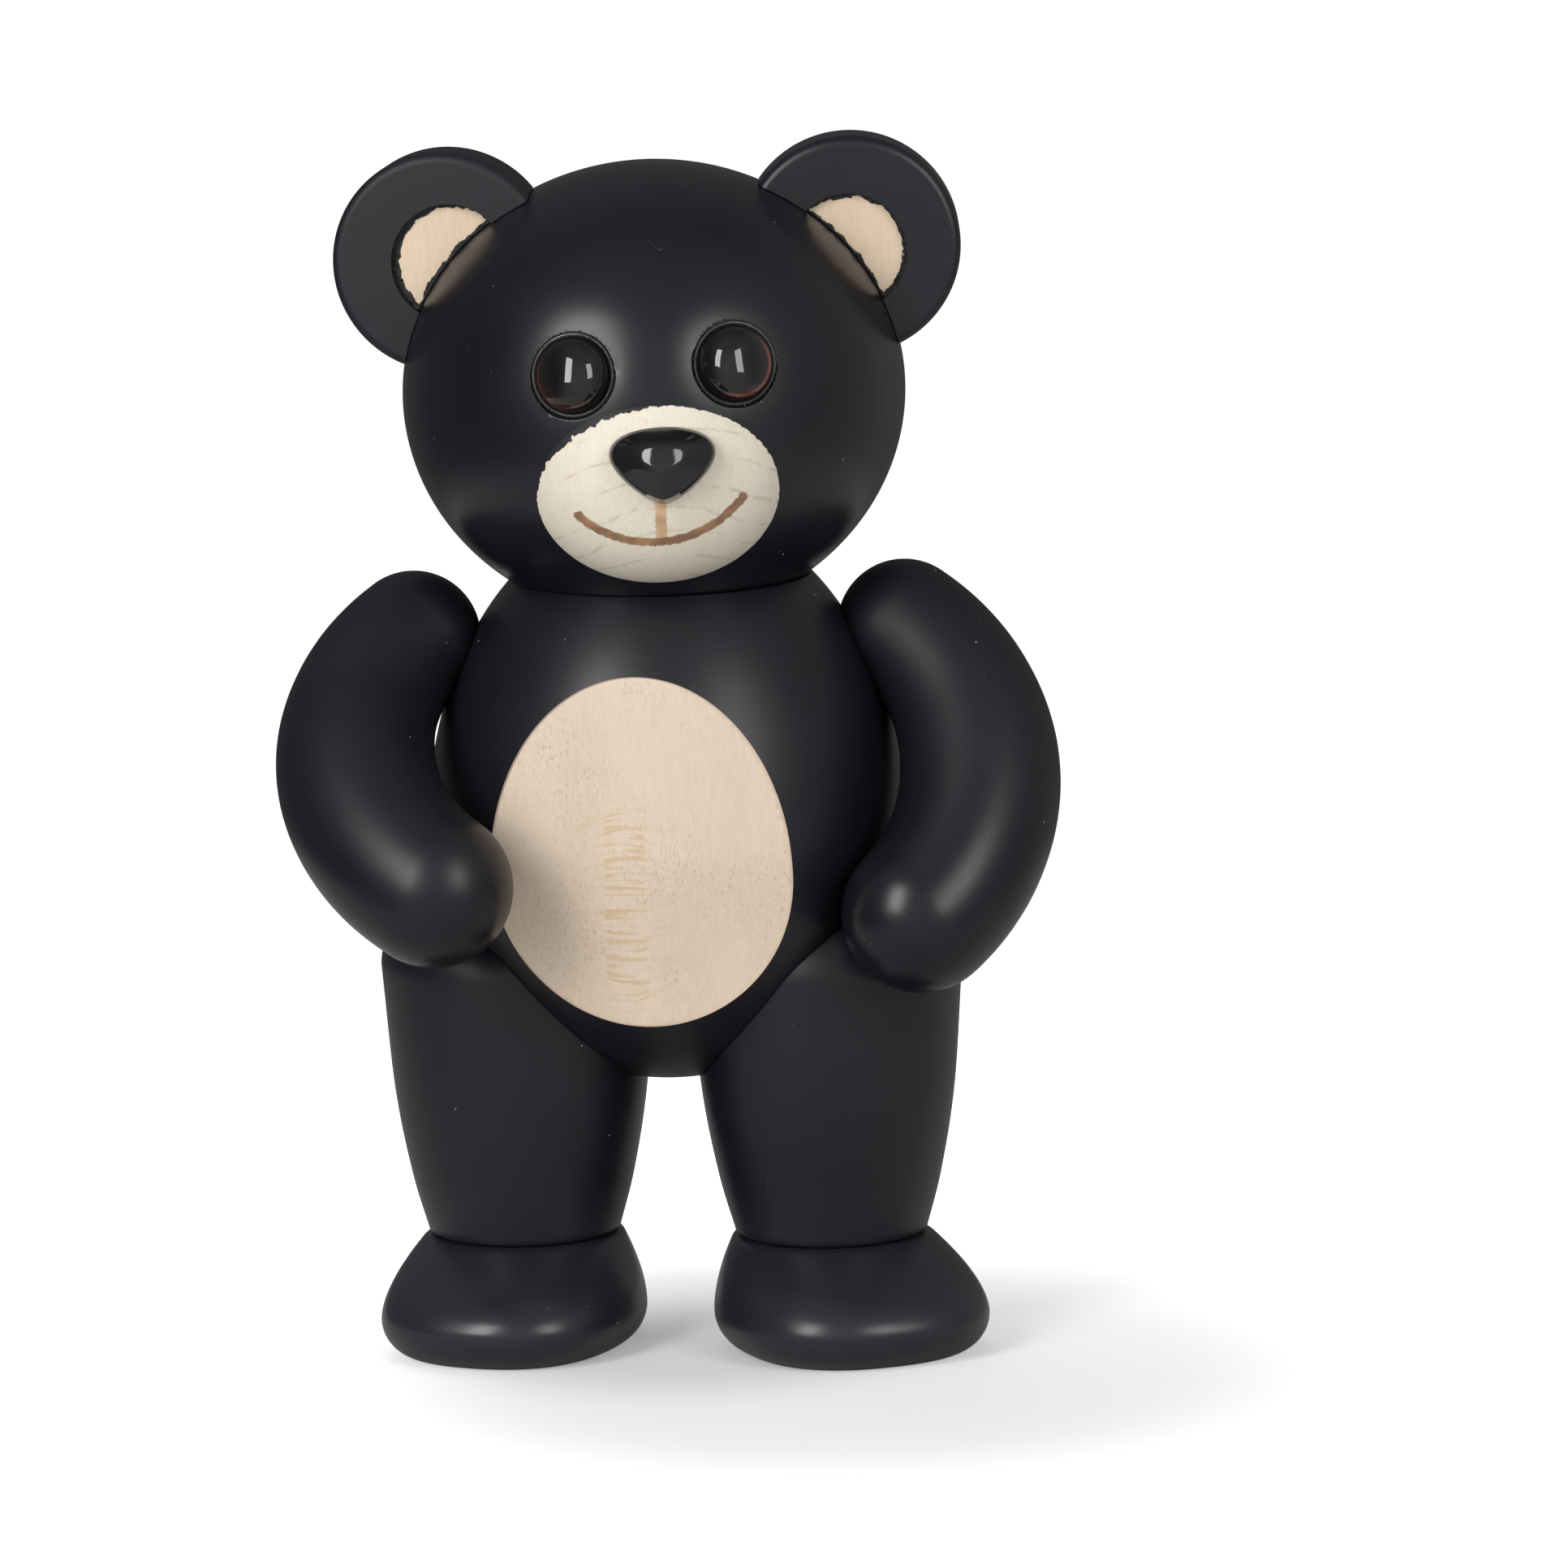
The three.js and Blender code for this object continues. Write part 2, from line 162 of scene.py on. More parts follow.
def satin_paint(name, gloss=0.42, duller=0.0, dull_height=0.0):
    """Satin black paint with dust, scratches and painted floor light near the feet; duller above a
    height.
    """
    finish, tree, shader = new_finish(name)
    height = add(tree, "ShaderNodeSeparateXYZ", {0: own_place(tree)}).outputs[2]
    cells = stretched(tree, (dust_cells, dust_cells, dust_cells))
    grains = add(tree, "ShaderNodeTexVoronoi", {"Vector": cells, "Scale": 1.0})
    grain = soft_step(tree, grains.outputs["Distance"], *dust_size)
    chance = add(tree, "ShaderNodeSeparateColor", {"Color": grains.outputs["Color"]}).outputs[0]
    dust = product(tree, grain, soft_step(tree, chance, 0.66, 0.7))
    # A hairline runs where a broad noise passes through its middle value
    hair = soft_step(tree, apart(tree, noise(tree, 160, 1.0), 0.5), 0.0016, 0.0004)
    few = soft_step(tree, noise(tree, 420, 1.0), 0.66, 0.72)
    marks = maths(tree, "MAXIMUM", dust, product(tree, hair, few, hairline_share))
    cloud = soft_step(tree, noise(tree, 55), 0.3, 0.7)
    tone = blend(tree, product(tree, cloud, 0.35), paint_colour, paint_cloud_colour)
    # Painted light from the floor: the paint turns lighter below these heights, near the feet
    tone = blend(tree, soft_step(tree, height, *floor_light_heights), tone, floor_light_paint_colour)
    tree.links.new(blend(tree, marks, tone, dust_colour), shader.inputs["Base Color"])
    shader.inputs["Specular IOR Level"].default_value = gloss
    dull = soft_step(tree, height, dull_height - dull_change, dull_height + dull_change)
    rough = total(tree, paint_roughness, product(tree, dull, duller), product(tree, cloud, 0.05))
    rough = total(tree, rough, product(tree, marks, 0.3))
    tree.links.new(rough, shader.inputs["Roughness"])
    pores = noise(tree, (2200, 2200, 260), 3.0)
    peel = noise(tree, 620, 1.0)
    relief = total(tree, product(tree, pores, 0.25), product(tree, peel, 0.35), product(tree, dust, 2.0))
    give_relief(tree, shader, relief, 0.25, paint_relief)
    return finish


black_paint = satin_paint("black_paint")
dull_paint = satin_paint("dull_paint", gloss=0.38, duller=0.09)

# Bare maple
# Sanded hard maple with no varnish: pale cream, with fine streaks and short dark flecks along the
# grain, which runs up the figure in every piece.

maple_light = colour(196, 180, 162)
maple_dark = colour(181, 164, 144)
fleck_colour = colour(160, 136, 108)
maple_roughness = 0.62
maple_relief = 0.03 * mm


def bare_maple(name, light=maple_light, dark=maple_dark, flecked=0.5):
    """A finish of plain maple; the caller paints its figure over the colour that is returned."""
    finish, tree, shader = new_finish(name)
    streaks = soft_step(tree, noise(tree, (2300, 2300, 420), 4.0), 0.3, 0.72)
    broad = soft_step(tree, noise(tree, (120, 120, 30)), 0.3, 0.7)
    share = total(tree, product(tree, streaks, 0.34), product(tree, broad, 0.3))
    wood = blend(tree, share, light, dark)
    specks = soft_step(tree, noise(tree, (3400, 3400, 1500), 3.0), 0.54, 0.68)
    patchy = soft_step(tree, noise(tree, (120, 120, 70)), 0.3, 0.62)
    wood = blend(tree, product(tree, specks, patchy, flecked), wood, fleck_colour)
    shader.inputs["Roughness"].default_value = maple_roughness
    give_relief(tree, shader, noise(tree, (2600, 2600, 200), 3.0), 0.35, maple_relief)
    return finish, tree, shader, wood


# Torso
# An egg of maple turned on a lathe and painted, then planed nearly flat in front. The cut leaves
# an oval of bare wood a little below the paint, with the wood's own edge standing round it.

torso_radius = 28.5 * mm
torso_widest = 63 * mm
torso_rise = 38.2 * mm
torso_drop = 31.5 * mm
torso_point = 1.72
torso_tip = 32.6 * mm
neck_height = 92.7 * mm
trunk_turn = math.radians(-8)

# The figure's own middle line, from the boxes of the torso and of the ball that is its head
head_width = 59.8 * mm
trunk_shift = -0.3 * mm
low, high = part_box("body")
figure_middle = Vector(((low.x + high.x) / 2 - trunk_shift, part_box("head")[1].y - head_width / 2, 0))
trunk = Matrix.Translation(figure_middle + Vector((trunk_shift, 0, 0)))
trunk = trunk @ Matrix.Rotation(trunk_turn, 4, "Z")


def piece_from(name, points, faces):
    mesh = bpy.data.meshes.new(name)
    mesh.from_pydata([tuple(point) for point in points], [], faces)
    mesh.update()
    piece = bpy.data.objects.new(name, mesh)
    bpy.context.scene.collection.objects.link(piece)
    return piece


def skin(name, rings):
    """Covers closed rings of equally many points, which run anticlockwise seen from the last."""
    rings = np.asarray(rings, float)
    count, around = rings.shape[:2]
    points = np.vstack([rings.reshape(-1, 3), rings[0].mean(0), rings[-1].mean(0)])
    start, end = count * around, count * around + 1
    faces = []
    for i in range(around):
        j = (i + 1) % around
        for k in range(count - 1):
            here, above = k * around, (k + 1) * around
            faces.append((here + i, here + j, above + j, above + i))
        last = (count - 1) * around
        faces.append((start, j, i))
        faces.append((end, last + i, last + j))
    return piece_from(name, points, faces)


def round_angles(count):
    return np.linspace(0, 2 * math.pi, count, endpoint=False)


def turned(name, profile, sides):
    """Turns [radius, height] points, from the bottom up, about the Z axis."""
    angles = round_angles(sides)
    return skin(name, [[(r * math.cos(a), r * math.sin(a), z) for a in angles] for r, z in profile])


def settle(piece):
    """Puts what the piece's modifier makes into its mesh, and takes the modifier off."""
    graph = bpy.context.evaluated_depsgraph_get()
    shape = bpy.data.meshes.new_from_object(piece.evaluated_get(graph))
    piece.modifiers.clear()
    piece.data = shape


def cut(piece, *cutters):
    """Takes the cutters out of the piece. A cut face keeps the cutter's finish."""
    for cutter in cutters:
        step = piece.modifiers.new("cut", "BOOLEAN")
        step.operation, step.solver, step.material_mode = "DIFFERENCE", "EXACT", "TRANSFER"
        step.object = cutter
        settle(piece)
        bpy.data.objects.remove(cutter)


sharp_angle = math.radians(38)


def put_together(piece, node):
    piece.data.shade_smooth()
    piece.data.set_sharp_from_angle(angle=sharp_angle)
    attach(piece, "root")
    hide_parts(node)


def torso_radius_at(z):
    if z > torso_widest:
        return torso_radius * math.sqrt(1 - ((z - torso_widest) / torso_rise) ** 2)
    return torso_radius * (1 - ((torso_widest - z) / torso_drop) ** torso_point) ** (1 / torso_point)


torso_edge = 0.5 * mm
torso_sides = 144
torso_steps = 60


def torso_shape(name, grow):
    """The egg, eased at its tip. The same shape, a seam larger, hollows what is glued to it."""
    lowest = math.asin((torso_widest - torso_tip) / torso_drop)
    highest = math.asin((neck_height - torso_widest) / torso_rise)
    heights = [torso_widest - torso_drop * math.sin(a) for a in np.linspace(lowest, 0, torso_steps)]
    rises = np.linspace(0, highest, torso_steps)[1:]
    heights += [torso_widest + torso_rise * math.sin(a) for a in rises]
    profile = [(torso_radius_at(z) + grow, z) for z in heights]
    tip, neck = profile[0], profile[-1]
    profile[0] = (tip[0] - torso_edge * 0.3, tip[1] + torso_edge * 0.3 - grow)
    profile.insert(0, (tip[0] - torso_edge, tip[1] - grow))
    profile[-1] = (neck[0], neck[1] + grow)
    piece = turned(name, profile, torso_sides)
    piece.data.transform(trunk)
    return piece


belly_width = 36 * mm
belly_widest = 60.3 * mm
belly_top = 84.1 * mm
belly_bottom = 41.3 * mm
belly_recess = 0.3 * mm
belly_crown = 0.8 * mm


def belly_cutter():
    rings = []
    for angle in np.radians(np.linspace(-89, 89, 90)):
        reach = belly_top - belly_widest if angle > 0 else belly_widest - belly_bottom
        z = belly_widest + reach * math.sin(angle)
        half = belly_width / 2 * math.cos(angle)
        edge = math.sqrt(torso_radius_at(z) ** 2 - half ** 2) - belly_recess
        ring = []
        for across in np.linspace(1, -1, 41):
            ring.append((across * half, -edge - belly_crown * (1 - across ** 2) * math.cos(angle), z))
        ring += [(-half, -2 * torso_radius, z), (half, -2 * torso_radius, z)]
        rings.append(ring)
    piece = skin("belly_cut", rings)
    piece.data.transform(trunk)
    return piece


# The middle of the belly shows the ends of the wood's rays as short level bars, bent into arches
# above and bowls below. Fine bars lie among the coarse ones and spread wider.
rays_middle = Vector((-5.4 * mm, 0, 56 * mm))
rays_half_width = 2.2 * mm
rays_half_height = 13 * mm
rays_bend = 0.42 * mm
rays_colour = colour(180, 153, 119)
rays_kinds = (
    {"cells": 1350, "start": 0.51, "reach": 1.0, "strength": 0.65},
    {"cells": 1900, "start": 0.54, "reach": 2.4, "strength": 0.25},
)

belly_maple, tree, shader, wood = bare_maple("belly_maple")
offset = vector_maths(tree, "SUBTRACT", own_place(tree), rays_middle)
spot = add(tree, "ShaderNodeSeparateXYZ", {0: offset})
across = maths(tree, "DIVIDE", spot.outputs[0], rays_half_width)
upward = maths(tree, "DIVIDE", spot.outputs[2], rays_half_height)
level = total(tree, spot.outputs[2], product(tree, across, across, upward, rays_bend))
end_fade = soft_step(tree, maths(tree, "ABSOLUTE", upward), 1.1, 0.7)
for rays in rays_kinds:
    flat = product(tree, spot.outputs[0], 110)
    bars = add(tree, "ShaderNodeCombineXYZ", {0: flat, 2: product(tree, level, rays["cells"])})
    bars = soft_step(tree, noise(tree, bars.outputs[0], 1.0), rays["start"], rays["start"] + 0.07)
    ragged = product(tree, noise(tree, (700, 700, 1500)), 0.5)
    side_fade = total(tree, maths(tree, "ABSOLUTE", across), ragged)
    side_fade = soft_step(tree, side_fade, rays["reach"] * 1.25 + 0.25, rays["reach"] * 0.95 + 0.25)
    wood = blend(tree, product(tree, bars, side_fade, end_fade, rays["strength"]), wood, rays_colour)
tree.links.new(wood, shader.inputs["Base Color"])

torso = torso_shape("torso", 0)
torso.data.materials.append(dull_paint)
belly_cut = belly_cutter()
belly_cut.data.materials.append(belly_maple)
cut(torso, belly_cut)
put_together(torso, "body")

# Legs
# Tapered maple barrels with a domed hip, hollowed to fit against the torso, glued and painted. The
# bottom edge is eased and leaves a dark seam above the foot.

seam = 0.1 * mm
foot_height = 13 * mm
leg_spread = 18.6 * mm
leg_widest_radius = 16.4 * mm
leg_widest = 46 * mm
leg_top = 57 * mm
ankle_radius = 11.4 * mm
calf = (13.4 * mm, 20.5 * mm)
thigh = (15.2 * mm, 31 * mm)
seam_ease = 0.5 * mm
leg_sides = 112


def smooth_through(points, count):
    """A smooth curve through the points that slows to none at no point: a Catmull-Rom spline."""
    points = [Vector(p) for p in points]
    points = [2 * points[0] - points[1], *points, 2 * points[-1] - points[-2]]
    spans = len(points) - 3
    curve = []
    for step in np.linspace(0, spans, count):
        k = min(int(step), spans - 1)
        t = step - k
        a, b, c, d = points[k:k + 4]
        bent = (2 * a - 5 * b + 4 * c - d) * t ** 2 + (3 * b - a - 3 * c + d) * t ** 3
        curve.append((2 * b + (c - a) * t + bent) / 2)
    return curve


def leg_shape(name, sign, grow):
    bottom = foot_height + seam
    knots = [(ankle_radius, bottom), calf, thigh, (leg_widest_radius, leg_widest)]
    barrel = smooth_through(knots, 40)
    profile = [(ankle_radius - seam_ease + grow, bottom)]
    profile += [(ankle_radius - seam_ease * 0.25 + grow, bottom + seam_ease * 0.3)]
    profile += [(point[0] + grow, point[1]) for point in barrel if point[1] > bottom + seam_ease]
    for angle in np.radians(np.linspace(0, 88, 24))[1:]:
        radius = (leg_widest_radius + grow) * math.cos(angle)
        profile.append((radius, leg_widest + (leg_top - leg_widest + grow) * math.sin(angle)))
    piece = turned(name, profile, leg_sides)
    piece.data.transform(trunk @ Matrix.Translation((sign * leg_spread, 0, 0)))
    return piece


both_sides = (("left", 1), ("right", -1))
for side, sign in both_sides:
    leg = leg_shape(f"thigh_{side}", sign, 0)
    leg.data.materials.append(dull_paint)
    cut(leg, torso_shape("hollow", seam))
    put_together(leg, f"leg_{side}")

# Feet
# Shoe-shaped maple blocks, flat underneath, with a tight round at the sole and a neck that flares
# out from under the leg. The toes point a little outwards.

foot_toe = 23 * mm
foot_heel = 12.6 * mm
foot_ball = -7 * mm
foot_edge = 4.6 * mm
foot_top_radius = 11.8 * mm
foot_squareness = 0.84
foot_heel_taper = 0.14
foot_flare = 1.8
foot_width = {"left": 31.4 * mm, "right": 29.8 * mm}
foot_inward = {"left": 0.5 * mm, "right": 1.5 * mm}
foot_sole_angle = math.radians(-75)
toe_out = {"left": math.radians(23), "right": math.radians(-25)}


def squared(value):
    return math.copysign(abs(value) ** foot_squareness, value)


def foot_ring(side, sign, z, inset, flare):
    ring = []
    for angle in round_angles(leg_sides):
        along = squared(math.cos(angle))
        toe = along > 0
        length = foot_toe + foot_ball if toe else foot_heel - foot_ball
        taper = 1 if toe else 1 - foot_heel_taper * along ** 2
        half = foot_width[side] / 2 - inset
        x = squared(math.sin(angle)) * half * taper - sign * foot_inward[side]
        y = foot_ball - along * (length - inset)
        ankle = (foot_top_radius * math.sin(angle), -foot_top_radius * math.cos(angle))
        ring.append((x + (ankle[0] - x) * flare, y + (ankle[1] - y) * flare, z))
    return ring


def foot_shape(name, side, sign):
    start = foot_sole_angle
    rings = []
    for angle in np.linspace(start, 0, 14):
        rise = foot_edge * (math.sin(angle) - math.sin(start))
        rings.append(foot_ring(side, sign, rise, foot_edge * (1 - math.cos(angle)), 0))
    widest = -foot_edge * math.sin(start)
    for rise in np.linspace(0, 1, 22)[1:]:
        z = widest + (foot_height - widest) * rise
        z -= seam_ease * 0.3 if rise == 1 else 0
        rings.append(foot_ring(side, sign, z, 0, rise ** foot_flare))
    top = np.array(rings[-1])
    middle = top.mean(0)
    shrunk = middle + (top - middle) * (1 - seam_ease / foot_top_radius)
    shrunk[:, 2] = foot_height
    rings.append(shrunk)
    piece = skin(name, rings)
    ankle = trunk @ Vector((sign * leg_spread, 0, 0))
    piece.data.transform(Matrix.Translation(ankle) @ Matrix.Rotation(toe_out[side], 4, "Z"))
    piece.data.materials.append(black_paint)
    return piece


for side, sign in both_sides:
    put_together(foot_shape(f"shoe_{side}", side, sign), f"foot_{side}")

# Arms
# Bent maple rods with round ends, thin at the shoulder and full at the hand. A rod is a circle
# carried along an arc, so a node tree makes it; its inner side is then hollowed to fit the torso.

arm_chord = 37.6 * mm
arm_bow = 8 * mm
arm_radii = [8 * mm, 8.8 * mm, 9.5 * mm, 9.6 * mm, 9.4 * mm]
arm_thickest = 10 * mm
arm_stations = 121
arm_sides = 72
arm_dull_height = 66 * mm
shoulder_height = 85.8 * mm
shoulder_x = {"left": 28.5 * mm, "right": -30 * mm}
arm_swing = {"left": math.radians(-34), "right": math.radians(-47)}
arm_lean = {"left": math.radians(-1.5), "right": math.radians(-3.4)}


def geometry_tree(name, wanted):
    """A node tree with the named inputs, each of the kind given, and one Geometry output."""
    tree = bpy.data.node_groups.new(name, "GeometryNodeTree")
    for key, kind in wanted.items():
        tree.interface.new_socket(key, in_out="INPUT", socket_type=f"NodeSocket{kind}")
    tree.interface.new_socket("Geometry", in_out="OUTPUT", socket_type="NodeSocketGeometry")
    return tree, add(tree, "NodeGroupInput").outputs


def hand_out(tree, geometry, finish):
    """Makes the instances real, gives the whole its finish and ends the tree with it."""
    whole = add(tree, "GeometryNodeRealizeInstances", {"Geometry": geometry}).outputs[0]
    whole = add(tree, "GeometryNodeSetMaterial", {"Geometry": whole, "Material": finish}).outputs[0]
    tree.links.new(whole, add(tree, "NodeGroupOutput").inputs[0])


def rod_tree():
    tree, given = geometry_tree("bent_rod", {
        "Chord": "Float",
        "Bow": "Float",
        "Side": "Float",
        "Shoulder Radius": "Float",
        "Hand Radius": "Float",
        "Place": "Vector",
        "Turn": "Rotation",
        "Finish": "Material",
    })
    line = add(tree, "GeometryNodeCurvePrimitiveLine", {"End": (0, 0, 1)}).outputs[0]
    line = add(tree, "GeometryNodeResampleCurve", {"Curve": line, "Count": arm_stations}).outputs[0]
    # The first and last sixths of the line are the two round ends, given as angles of nearly a
    # quarter turn, so that the rod's last ring keeps a little width
    cap = 1 / 6
    quarter = math.pi / 2 * 0.985
    index = add(tree, "GeometryNodeInputIndex").outputs[0]
    step = maths(tree, "DIVIDE", index, float(arm_stations - 1))
    first = maths(tree, "SUBTRACT", quarter, product(tree, step, quarter / cap))
    first = maths(tree, "MAXIMUM", first, 0.0)
    last = product(tree, maths(tree, "SUBTRACT", step, 1 - cap), quarter / cap)
    last = maths(tree, "MAXIMUM", last, 0.0)
    along = maths(tree, "DIVIDE", maths(tree, "SUBTRACT", step, cap), 1 - 2 * cap)
    along = maths(tree, "MINIMUM", maths(tree, "MAXIMUM", along, 0.0), 1.0)
    # The arc's radius follows from its chord and bow
    half = maths(tree, "DIVIDE", given["Chord"], 2.0)
    squares = total(tree, maths(tree, "POWER", half, 2.0), maths(tree, "POWER", given["Bow"], 2.0))
    sweep = maths(tree, "DIVIDE", squares, product(tree, given["Bow"], 2.0))
    half_angle = maths(tree, "ARCSINE", maths(tree, "DIVIDE", half, sweep))
    angle = product(tree, half_angle, maths(tree, "SUBTRACT", 1.0, product(tree, along, 2.0)))
    cosine, sine = maths(tree, "COSINE", angle), maths(tree, "SINE", angle)
    hand_push = product(tree, given["Hand Radius"], maths(tree, "SINE", last))
    shoulder_push = product(tree, given["Shoulder Radius"], maths(tree, "SINE", first))
    push = maths(tree, "SUBTRACT", hand_push, shoulder_push)
    x = total(tree, product(tree, cosine, sweep), maths(tree, "SUBTRACT", given["Bow"], sweep))
    x = total(tree, x, product(tree, sine, push))
    z = maths(tree, "SUBTRACT", product(tree, sine, sweep), half, product(tree, cosine, push))
    spot = add(tree, "ShaderNodeCombineXYZ", {0: product(tree, x, given["Side"]), 2: z}).outputs[0]
    route = add(tree, "GeometryNodeSetPosition", {"Geometry": line, "Position": spot}).outputs[0]
    # A float curve runs from 0 to 1, so the radii go in as shares of a thicker rod's
    swell = add(tree, "ShaderNodeFloatCurve", {"Value": along})
    points = swell.mapping.curves[0].points
    shares = [radius / arm_thickest for radius in arm_radii]
    for at, share in zip((0.25, 0.5, 0.75), shares[1:4]):
        points.new(at, share)
    points[0].location = (0, shares[0])
    points[-1].location = (1, shares[-1])
    swell.mapping.update()
    ends = product(tree, maths(tree, "COSINE", first), maths(tree, "COSINE", last))
    radius = product(tree, product(tree, swell.outputs[0], arm_thickest), ends)
    circle = {"Resolution": arm_sides, "Radius": 1.0}
    circle = add(tree, "GeometryNodeCurvePrimitiveCircle", circle).outputs[0]
    rod = {"Curve": route, "Profile Curve": circle, "Scale": radius, "Fill Caps": True}
    rod = add(tree, "GeometryNodeCurveToMesh", rod).outputs[0]
    moved = {"Geometry": rod, "Translation": given["Place"], "Rotation": given["Turn"]}
    hand_out(tree, add(tree, "GeometryNodeTransform", moved).outputs[0], given["Finish"])
    return tree


def made_by(tree, name, values):
    """The mesh that a node tree makes from named values, as a plain piece."""
    piece = piece_from(name, [], [])
    step = piece.modifiers.new("make", "NODES")
    step.node_group = tree
    sockets = {item.name: item.identifier for item in tree.interface.items_tree if item.in_out == "INPUT"}
    for key, value in values.items():
        step[sockets[key]] = value
    settle(piece)
    return piece


arm_paint = satin_paint("arm_paint", gloss=0.36, duller=0.2, dull_height=arm_dull_height)
bent_rod = rod_tree()
for side, sign in both_sides:
    turn = Matrix.Rotation(arm_swing[side], 4, "X") @ Matrix.Rotation(arm_lean[side], 4, "Y")
    values = {
        "Chord": arm_chord,
        "Bow": arm_bow,
        "Side": float(sign),
        "Shoulder Radius": arm_radii[0],
        "Hand Radius": arm_radii[-1],
        "Place": (figure_middle.x + shoulder_x[side], figure_middle.y, shoulder_height),
        "Turn": turn.to_euler(),
        "Finish": arm_paint,
    }
    arm = made_by(bent_rod, f"rod_{side}", values)
    cut(arm, torso_shape("hollow", seam), leg_shape("hollow", sign, seam))
    put_together(arm, f"arm_{side}")

# Head
# A maple ball turned a little flatter than round, with a flat below where it is glued to the
# torso. Each eye sits in a drilled hole, and the ball falls away a little towards its mouth.

head_height = 54.9 * mm
head_middle_height = 114.85 * mm
head_shift = -0.6 * mm
head_roll = math.radians(-1)

head_middle = figure_middle + Vector((head_shift, 0, head_middle_height))
head_place = Matrix.Translation(head_middle) @ Matrix.Rotation(head_roll, 4, "Y")

eye_spread = 9.7 * mm
eye_shift = 0.4 * mm
eye_height = 6.2 * mm
eye_skew = 0.27 * mm
eye_sunk = 0.75 * mm
eye_seat = 2.2 * mm
eye_turn = math.radians(14)
eye_lift = math.radians(10)
socket_radius = 5.15 * mm
bore_ease = 0.25 * mm
bore_mouth = 0.28 * mm
ease_depth = 0.42 * mm
ease_reach = 3.2 * mm
eye_sides = 96

# Tips a turned piece forwards, so that its top looks out of the figure's front
to_front = Matrix.Rotation(math.pi / 2, 4, "X")


def ball(name, size, grow, sides, rows):
    profile = []
    for angle in np.radians(np.linspace(-89, 89, rows)):
        profile.append((math.cos(angle), math.sin(angle)))
    piece = turned(name, profile, sides)
    piece.data.transform(Matrix.Diagonal((*(s / 2 + grow for s in size), 1)))
    return piece


def eye_place(sign):
    """The eye's own frame in the head's: its rim lies in the plane y = 0 and it looks along -Y."""
    x, z = eye_shift + sign * eye_spread, eye_height + sign * eye_skew
    half = head_width / 2
    y = -half * math.sqrt(1 - (x / half) ** 2 - (z / (head_height / 2)) ** 2)
    turn = Matrix.Rotation(sign * eye_turn, 4, "Z") @ Matrix.Rotation(-eye_lift, 4, "X")
    return Matrix.Translation((x, y, z)) @ turn @ Matrix.Translation((0, eye_sunk, 0))


def ease_rim(points, sign):
    """Lets the ball fall softly towards the drilled hole, most on the side of the other eye and above."""
    place = np.array(eye_place(sign))
    local = (points - place[:3, 3]) @ place[:3, :3]
    away = np.hypot(local[:, 0], local[:, 2])
    near = (away < 5 * socket_radius) & (local[:, 1] < head_width / 4)
    inner = (-sign * local[:, 0] + 0.25 * local[:, 2]) / np.maximum(away, mm) / 1.03
    share = np.clip(0.5 + 0.5 * inner, 0, 1) ** 1.5
    fall = ease_depth * share * np.exp(-np.maximum(away - socket_radius, 0) / ease_reach)
    local[near, 1] += fall[near]
    return local @ place[:3, :3].T + place[:3, 3]


def head_ball(name, grow):
    return ball(name, (head_width, head_width, head_height), grow, 256, 140)


def head_hollow(finish):
    """The ball, a seam larger, which hollows what is glued on it."""
    piece = head_ball("hollow", seam)
    piece.data.transform(head_place)
    piece.data.materials.append(finish)
    return piece


head = head_ball("skull", 0)
head.data.materials.append(black_paint)
points = np.array([vertex.co for vertex in head.data.vertices])
for sign in (1, -1):
    points = ease_rim(points, sign)
head.data.vertices.foreach_set("co", points.ravel())
head.data.transform(head_place)
neck_cut = turned("neck_cut", [(head_width, 0), (head_width, neck_height + seam)], 64)
neck_cut.data.transform(Matrix.Translation((head_middle.x, head_middle.y, 0)))
bores = []
for sign in (1, -1):
    eased = [(socket_radius, -eye_seat)]
    for angle in np.radians(np.linspace(0, 90, 9)):
        rise = bore_mouth - bore_ease * (1 - math.sin(angle))
        eased.append((socket_radius + bore_ease * (1 - math.cos(angle)), rise))
    eased.append((socket_radius + bore_ease, socket_radius))
    bore = turned("bore", eased, eye_sides)
    bore.data.transform(head_place @ eye_place(sign) @ to_front)
    bores.append(bore)
for cutter in (neck_cut, *bores):
    cutter.data.materials.append(black_paint)
cut(head, neck_cut, *bores)
put_together(head, "head")

# Eyes
# Black glass buttons with a domed front, glued into the drilled holes. A red-brown ring shows
# through the glass near the rim, most of all low on the bear's left eye.

eye_radius = 4.65 * mm
eye_dome = 3.4 * mm
eye_lean = Vector((0.75 * mm, 0.75 * mm))
eye_upright = 0.6
glass_black = colour(14, 14, 16)
glass_brown = colour(40, 27, 24)
ring_colour = colour(120, 58, 52)
ring_radius = 0.83
glass_ior = 1.52


def eye_finish(name, ring_strength, ring_side):
    """Black glass with a ring, strongest on one side. Its radius is a share of the eye's."""
    finish, tree, shader = new_finish(name)
    place = add(tree, "ShaderNodeAttribute", attribute_name="button").outputs["Vector"]
    away = vector_maths(tree, "LENGTH", place)
    facing = vector_maths(tree, "DOT_PRODUCT", place, ring_side)
    ring = soft_step(tree, apart(tree, away, ring_radius), 0.06, 0.015)
    ring = product(tree, ring, soft_step(tree, facing, 0.0, 0.6), ring_strength)
    glow = product(tree, soft_step(tree, away, 0.3, 0.95), soft_step(tree, facing, -0.3, 0.9), 0.7)
    tone = blend(tree, glow, glass_black, glass_brown)
    tree.links.new(blend(tree, ring, tone, ring_colour), shader.inputs["Base Color"])
    shader.inputs["Roughness"].default_value = 0.04
    shader.inputs["IOR"].default_value = glass_ior
    return finish


